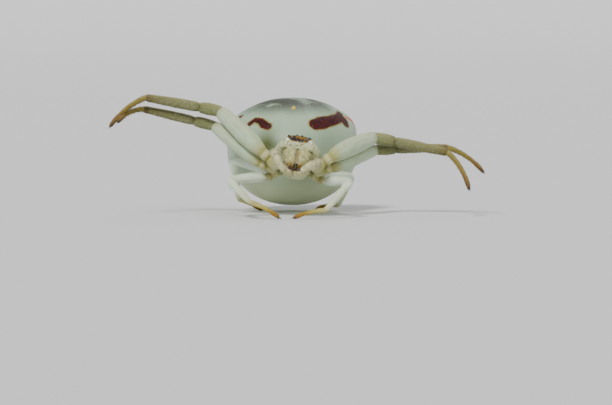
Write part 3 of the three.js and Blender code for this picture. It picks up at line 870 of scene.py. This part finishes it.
# The skin's sheen and relief: strong crinkles and streaks on legs and head, faint ones on the abdomen
relief = {
    "crinkleNoise": (9.0, 5, 0.65), "poreNoise": (26.0, 2), "streakNoise": (1.4, 3, 0.6),
    "crinkle": 0.8, "streak": 0.7, "bodyCrinkle": 0.12, "pores": 0.05, "distance": 0.08, "strength": 0.9,
    "roughness": 0.5, "bodyGloss": 0.12, "uneven": 0.1,
}
cuticle = Finish("cuticle", Specular_IOR_Level=0.36, Subsurface_Weight=0.12, Subsurface_Scale=0.00012,
                 Subsurface_Radius=(1.0, 0.85, 0.55))
cuticle.feed(cuticle.shader.inputs["Base Color"], skinColour(cuticle))
place = cuticle.millimetres()
crinkle, pores = (cuticle.noise(place, *relief[name]) for name in ("crinkleNoise", "poreNoise"))
streak = cuticle.noise(cuticle.grain(), *relief["streakNoise"])
onBody = cuticle.fade(cuticle.field("onAbdomen"), *joins["abdomen"])
roughness = relief["roughness"] - relief["bodyGloss"] * onBody + relief["uneven"] * crinkle
cuticle.feed(cuticle.shader.inputs["Roughness"], roughness)
legRelief = relief["crinkle"] * crinkle + relief["streak"] * streak
bodyRelief = relief["bodyCrinkle"] * crinkle + relief["pores"] * pores
height = (1 - onBody) * legRelief + onBody * bodyRelief
cuticle.feed(cuticle.shader.inputs["Normal"], cuticle.bump(height, relief["distance"], relief["strength"]))
cuticle.wear(skin)

# Each hair has a small patch of the map, at its root's place on an unwrap of the haired surfaces
unwrap = {"patch": 0.0015, "cells": 10, "margin": 0.06, "patchTurn": 2.4}
skinTree = BVHTree.FromPolygons(skinPoints.tolist(), [list(face.vertices) for face in finished.polygons])


# A cell of the unwrap for each haired surface: its length across the cell, its turn up it
def onUnwrap(cell, along, turn):
    row, column = divmod(cell, unwrap["cells"])
    low, high = unwrap["margin"], 1 - unwrap["margin"]
    place = (column + mix(low, high, along), row + mix(low, high, turn))
    return place[0] / unwrap["cells"], place[1] / unwrap["cells"]


class Coat:
    sunk, taper = 0.6, 0.8  # depth of the root and loss towards the tip, as shares of a hair's thickness
    nudge = 0.01  # keeps a hair that stands straight up from losing its sides

    def __init__(self, sides=3, rings=3):
        self.roots, self.ways, self.normals, self.lengths, self.thick = [], [], [], [], []
        self.maps, self.near = [], []
        self.sides, self.rings = sides, rings

    # Roots one hair on the skin nearest to a place, leaning the given way, at a place on the unwrap
    def plant(self, place, way, stand, length, thick, onMap):
        root, normal, face, _ = skinTree.find_nearest(Vector(place))
        normal = np.array(normal)
        lean = unit(way - normal * (way @ normal))
        self.roots.append(np.array(root) - normal * self.sunk * thick)
        self.ways.append(unit(lean + stand * normal))
        self.normals.append(normal)
        self.lengths.append(length)
        self.thick.append(thick)
        self.maps.append(onMap)
        self.near.append(finished.polygons[face].vertices[0])

    # All the hairs as one mesh: tapered, bent towards their lie, closed to a point
    def weave(self, name, bend=0.35):
        count, sides, rings = len(self.roots), self.sides, self.rings
        roots, thick, ways, normals = (
            np.array(rows) for rows in (self.roots, self.thick, self.ways, self.normals))
        lengths = np.array(self.lengths)[:, None]
        across = unit(np.cross(ways, normals + self.nudge))
        upper = np.cross(across, ways)
        rows = []
        for ring in range(rings):
            t = ring / rings
            spine = roots + ways * lengths * t - normals * lengths * bend * t * t
            for turn in allRound(sides):
                out = across * math.cos(turn) + upper * math.sin(turn)
                rows.append(spine + out * (thick * (1 - self.taper * t))[:, None])
        rows.append(roots + ways * lengths - normals * lengths * bend)
        points = np.stack(rows, 1)
        each = points.shape[1]
        pattern = []
        for ring in range(rings - 1):
            for side in range(sides):
                following = (side + 1) % sides
                a, b = ring * sides, (ring + 1) * sides
                pattern.append([a + side, a + following, b + following, b + side])
        tail = (rings - 1) * sides
        pattern += [[tail + side, tail + (side + 1) % sides, each - 1] for side in range(sides)]
        faces = [[each * n + k for k in face] for n in range(count) for face in pattern]
        piece = newObject(name, points.reshape(-1, 3), faces)
        carry(piece.data, {tag: np.repeat(values[self.near], each) for tag, values in fields.items()})
        turn = np.arange(each) * unwrap["patchTurn"]
        spots = np.array(self.maps)[:, None] + unwrap["patch"] * np.stack([np.cos(turn), np.sin(turn)], -1)
        corners = gather(piece.data.loops, "vertex_index", 1, int)[:, 0]
        layer = piece.data.uv_layers.new(name="OFBake")
        layer.data.foreach_set("uv", spots.reshape(-1, 2)[corners].ravel())
        settle(piece, points.reshape(-1, 3))
        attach(piece, "root")
        return piece


# Down on legs, palps and jaws: hairs on each kind of surface, their length, stand and thickness
coats = {
    "front femur": (300, 0.1, 0.35, 0.0075), "front patella": (110, 0.12, 0.5, 0.0075),
    "front tibia": (360, 0.13, 0.5, 0.0075), "front metatarsus": (360, 0.13, 0.6, 0.0075),
    "front tarsus": (260, 0.11, 0.6, 0.007), "front coxa": (60, 0.1, 0.5, 0.0075),
    "front trochanter": (60, 0.1, 0.6, 0.0075), "rear coxa": (40, 0.1, 0.5, 0.0075),
    "rear trochanter": (40, 0.1, 0.5, 0.0075), "rear femur": (160, 0.1, 0.4, 0.0075),
    "rear patella": (60, 0.12, 0.5, 0.0075), "rear tibia": (140, 0.12, 0.5, 0.0075),
    "rear metatarsus": (160, 0.12, 0.6, 0.007), "rear tarsus": (140, 0.1, 0.6, 0.007),
    "palp": (240, 0.15, 0.8, 0.011), "jaw": (280, 0.14, 0.6, 0.01),
}
downCoat = {"stretch": (0.04, 0.97), "sway": 0.22, "standSpread": (0.5, 1.4), "lengthSpread": (0.6, 1.3)}
down = Coat()
for cell, surface in enumerate(hairy):
    count, length, stand, thick = coats[surface["kind"]]
    u = dice.uniform(*downCoat["stretch"], count)
    turn = dice.uniform(0, 1, count)
    t = mix(*surface["stretch"], u)
    along, side, upper = frameOf(surface["curve"], t)
    out = side * np.cos(turn * 2 * math.pi)[:, None] + upper * np.sin(turn * 2 * math.pi)[:, None]
    places = surface["curve"](t) + out * (surface["radius"] * profile(surface["outline"], u))[:, None]
    surface["cell"] = cell
    for n in range(count):
        way = along[n] + dice.normal(0, downCoat["sway"], 3)
        up = stand * dice.uniform(*downCoat["standSpread"])
        down.plant(places[n], way, up, length * dice.uniform(*downCoat["lengthSpread"]), thick,
                   onUnwrap(cell, u[n], turn[n]))
pale = down.weave("down")

# Bristles on the head, which leave the eyes' band bare, and fine ones on the abdomen
headCoat = {
    "count": 1600, "length": 0.11, "stand": 0.6, "thick": 0.01, "levels": (0.12, 0.97),
    "bare": (0.75, -0.9, 1.25), "way": (0.3, -1.0, -0.4), "sway": 0.3,
    "standSpread": (0.4, 1.6), "lengthSpread": (0.5, 1.5),
}
bagCoat = {
    "count": 3200, "length": 0.07, "stand": 0.35, "thick": 0.006, "bunching": 1.3, "ends": (0.02, 0.98),
    "way": (0, 1.0, 0), "sway": 0.2, "lengthSpread": (0.6, 1.4),
}
bristles = Coat()
headCell, bagCell = len(hairy), len(hairy) + 1
for _ in range(headCoat["count"]):
    turn, level = dice.uniform(0, 1), dice.uniform(*headCoat["levels"])
    local = carapacePoint(turn * 2 * math.pi, level)
    halfWidth, back, floor = headCoat["bare"]
    if abs(local[0]) < halfWidth and local[1] < back and local[2] > floor:
        continue
    way = headCoat["way"] * np.array([local[0], 1, 1]) + dice.normal(0, headCoat["sway"], 3)
    up = headCoat["stand"] * dice.uniform(*headCoat["standSpread"])
    bristles.plant(onProsoma(local), way, up, headCoat["length"] * dice.uniform(*headCoat["lengthSpread"]),
                   headCoat["thick"], onUnwrap(headCell, level, turn))
for _ in range(bagCoat["count"]):
    at, turn = dice.beta(bagCoat["bunching"], bagCoat["bunching"]), dice.uniform(0, 1)
    local = abdomenPoint(np.clip(at, *bagCoat["ends"]), turn * 2 * math.pi)
    way = np.array(bagCoat["way"]) + dice.normal(0, bagCoat["sway"], 3)
    bristles.plant(local, way, bagCoat["stand"], bagCoat["length"] * dice.uniform(*bagCoat["lengthSpread"]),
                   bagCoat["thick"], onUnwrap(bagCell, at, turn))
short = bristles.weave("bristles")

hairLook = {
    "hair": paint(240, 238, 216), "skinShare": 0.45, "foot": paint(92, 60, 14), "footFrom": (4.2, 5.4),
    "footShare": 0.75,
}
hairFinish = Finish("hair", Roughness=0.45)
tinted = hairFinish.blend(1 - hairLook["skinShare"], skinColour(hairFinish), hairLook["hair"])
onFoot = hairLook["footShare"] * hairFinish.fade(hairFinish.field("legPlace"), *hairLook["footFrom"])
hairFinish.feed(hairFinish.shader.inputs["Base Color"], hairFinish.blend(onFoot, tinted, hairLook["foot"]))
hairFinish.wear(pale)
hairFinish.wear(short)
print("hairs grown")

# Dark spines under the tibiae and metatarsi of the front legs: pairs, stretch and length
spineRows = {"front tibia": (4, 0.2, 0.9, 0.17), "front metatarsus": (6, 0.1, 0.95, 0.24)}
spine = {
    "aside": 32, "thick": 0.019, "stand": 0.9, "turnSway": 5, "placeSway": 0.012, "lengthSpread": (0.85, 1.1),
    "bend": 0.2, "colour": paint(26, 18, 12),
}
spines = Coat(sides=5, rings=4)
for surface in hairy:
    if surface["kind"] not in spineRows:
        continue
    pairs, start, end, length = spineRows[surface["kind"]]
    for u in np.linspace(start, end, pairs):
        for aside in (-spine["aside"], spine["aside"]):
            turn = math.radians(-90 + aside + dice.normal(0, spine["turnSway"]))
            t = mix(*surface["stretch"], u + dice.normal(0, spine["placeSway"]))
            along, side, upper = frameOf(surface["curve"], t)
            out = side * math.cos(turn) + upper * math.sin(turn)
            place = surface["curve"](t) + out * surface["radius"] * profile(surface["outline"], u)
            spines.plant(place, along, spine["stand"], length * dice.uniform(*spine["lengthSpread"]),
                         spine["thick"], onUnwrap(surface["cell"], u, (turn / (2 * math.pi)) % 1))
thorns = spines.weave("spines", bend=spine["bend"])
spineFinish = Finish("spine", Base_Color=spine["colour"], Roughness=0.3)
spineFinish.wear(thorns)

# Two hooked claws on each foot, with a tuft of dark hairs under them
claws = {
    "place": 0.965, "length": 0.17, "thick": 0.026, "apart": 0.035, "splay": 0.02, "lift": 0.01,
    "kneeAt": 0.6, "kneeLift": 0.035, "drop": 0.09, "standingDrop": 0.02, "lowest": 0.012,
    "outline": [(0, 1), (0.5, 0.75), (1, 0.16)], "rings": 12, "sides": 10,
}
tuft = {
    "count": 26, "length": 0.11, "thick": 0.009, "stand": 0.7, "reach": 0.1, "bend": 0.3,
    "turn": (-170, -10), "stretch": (0.93, 0.985), "lengthSpread": (0.7, 1.2),
}
hooks, tufts = Clay(), Coat()
for number, curve in feet:
    foot = curve(claws["place"])
    along, side, upper = frameOf(curve, claws["place"])
    fall = np.array([0, 0, -(claws["drop"] if number in frontPairs else claws["standingDrop"])])
    for aside in (-1, 1):
        root = foot + side * aside * claws["apart"] + upper * claws["lift"]
        knee = root + along * claws["kneeAt"] * claws["length"] + upper * claws["kneeLift"]
        tip = root + along * claws["length"] + fall + side * aside * claws["splay"]
        tip[2] = max(tip[2], claws["lowest"])
        limb(hooks, bezier(root, knee, tip), (0, 1), claws["thick"], claws["outline"], claws["rings"],
             sides=claws["sides"])
    cell = next(s["cell"] for s in hairy if s["curve"] is curve and s["kind"].endswith("tarsus"))
    for _ in range(tuft["count"]):
        turn = math.radians(dice.uniform(*tuft["turn"]))
        u = dice.uniform(*tuft["stretch"])
        place = curve(u) + (side * math.cos(turn) + upper * math.sin(turn)) * tuft["reach"]
        tufts.plant(place, along, tuft["stand"], tuft["length"] * dice.uniform(*tuft["lengthSpread"]),
                    tuft["thick"], onUnwrap(cell, u, (turn / (2 * math.pi)) % 1))
talons = newObject("claws", np.concatenate(hooks.points), hooks.faces)
settle(talons, np.concatenate(hooks.points))
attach(talons, "root")
spineFinish.wear(talons)
pads = tufts.weave("claw_tufts", bend=tuft["bend"])
spineFinish.wear(pads)
print("spines and claws set")

# Eyes, each a polished dark bead in the place of its solid
beads = {"segments": 40, "rings": 24, "colour": paint(16, 10, 7)}
eyeFinish = Finish("eye", Base_Color=beads["colour"], Roughness=0.08, Specular_IOR_Level=0.7,
                   Coat_Weight=0.6, Coat_Roughness=0.03)
for name, (centre, radius) in eyePlaces.items():
    bpy.ops.mesh.primitive_uv_sphere_add(segments=beads["segments"], ring_count=beads["rings"],
                                         radius=radius * mm)
    bead = bpy.context.object
    bead.name = name.replace("eye_", "bead_")
    bead.location = Vector((onProsoma(centre) + shift) * mm)
    bead.data.shade_smooth()
    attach(bead, "root")
    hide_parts(name)
    eyeFinish.wear(bead)

# Fangs, curved in towards each other
fangs = {
    "root": (0.38, -1.7, -0.4), "tip": (0.03, -1.74, -0.52), "radius": 0.092, "bulge": (0.03, -0.06, -0.06),
    "outline": [(0, 1), (0.5, 0.74), (1, 0.2)], "rings": 24, "sides": 20, "colour": paint(58, 16, 6),
}
fangFinish = Finish("fang", Base_Color=fangs["colour"], Roughness=0.25, Coat_Weight=0.4)
for sideName, side in bothSides:
    root, tip = (onProsoma(fangs[end], side) for end in ("root", "tip"))
    curve = bezier(root, (root + tip) / 2 + mirrored(fangs["bulge"], side), tip)
    lump = Clay()
    limb(lump, curve, (0, 1), fangs["radius"], fangs["outline"], fangs["rings"], sides=fangs["sides"])
    piece = newObject("tooth_" + sideName, lump.points[0], lump.faces)
    settle(piece, lump.points[0])
    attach(piece, "root")
    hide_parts("fang_" + sideName)
    fangFinish.wear(piece)
print("eyes and fangs set")

# A pale floor that rises far off into a wall all round, in metres
studio = {"flat": 1.2, "edge": 2.2, "height": 0.9, "rings": 24, "sides": 96, "colour": paint(222, 222, 220)}
reach = np.linspace(0, 1, studio["rings"])
rise = studio["height"] * (1 - np.sqrt(1 - reach ** 2))
out = mix(studio["flat"], studio["edge"], reach)
turn = allRound(studio["sides"])
bowl = np.stack([out[:, None] * np.cos(turn), out[:, None] * np.sin(turn), rise[:, None] + 0 * turn], -1)
faces = [list(range(studio["sides"]))]
for i in range(studio["rings"] - 1):
    for j in range(studio["sides"]):
        k = (j + 1) % studio["sides"]
        a, b = i * studio["sides"], (i + 1) * studio["sides"]
        faces.append([b + j, b + k, a + k, a + j])
ground = newObject("ground", bowl.reshape(-1, 3), faces)
ground.data.shade_smooth()
floorFinish = Finish("floor", Base_Color=studio["colour"], Roughness=0.9, Specular_IOR_Level=0.1)
floorFinish.wear(ground)

sky = {"Color": paint(224, 228, 234), "Strength": 0.42}
world = bpy.data.worlds.new("studio")
bpy.context.scene.world = world
world.use_nodes = True
for name, value in sky.items():
    world.node_tree.nodes["Background"].inputs[name].default_value = value

lamps = {  # bearing from the camera's side and height in degrees, strength, softness in degrees
    "key": (-24, 44, 3.0, 14), "fill": (50, 34, 0.7, 50), "back": (165, 50, 0.5, 30),
}
for name, (bearing, heightDeg, strength, softness) in lamps.items():
    lamp = bpy.data.lights.new(name, "SUN")
    lamp.energy = strength
    lamp.angle = math.radians(softness)
    holder = bpy.data.objects.new(name, lamp)
    flat, turn = math.cos(math.radians(heightDeg)), math.radians(bearing)
    source = Vector((flat * math.sin(turn), -flat * math.cos(turn), math.sin(math.radians(heightDeg))))
    holder.rotation_euler = (-source).to_track_quat("-Z", "Y").to_euler()
    bpy.context.scene.collection.objects.link(holder)

# Camera: target and distance in millimetres, in the animal's own frame
view = {
    "target": (0.522, -1.9, 0.928), "elevation": 3.0, "distance": 200.0, "lens": 202.8, "clip": (0.01, 10),
}
tilt = math.radians(view["elevation"])
away = np.array([0, -math.cos(tilt), math.sin(tilt)])
camera = bpy.data.objects.new("camera", bpy.data.cameras.new("camera"))
camera.data.lens = view["lens"]
camera.data.clip_start, camera.data.clip_end = view["clip"]
camera.location = Vector((np.array(view["target"]) + away * view["distance"] + shift) * mm)
camera.rotation_euler = Vector(-away).to_track_quat("-Z", "Y").to_euler()
bpy.context.scene.collection.objects.link(camera)
bpy.context.scene.camera = camera
print("stage set")
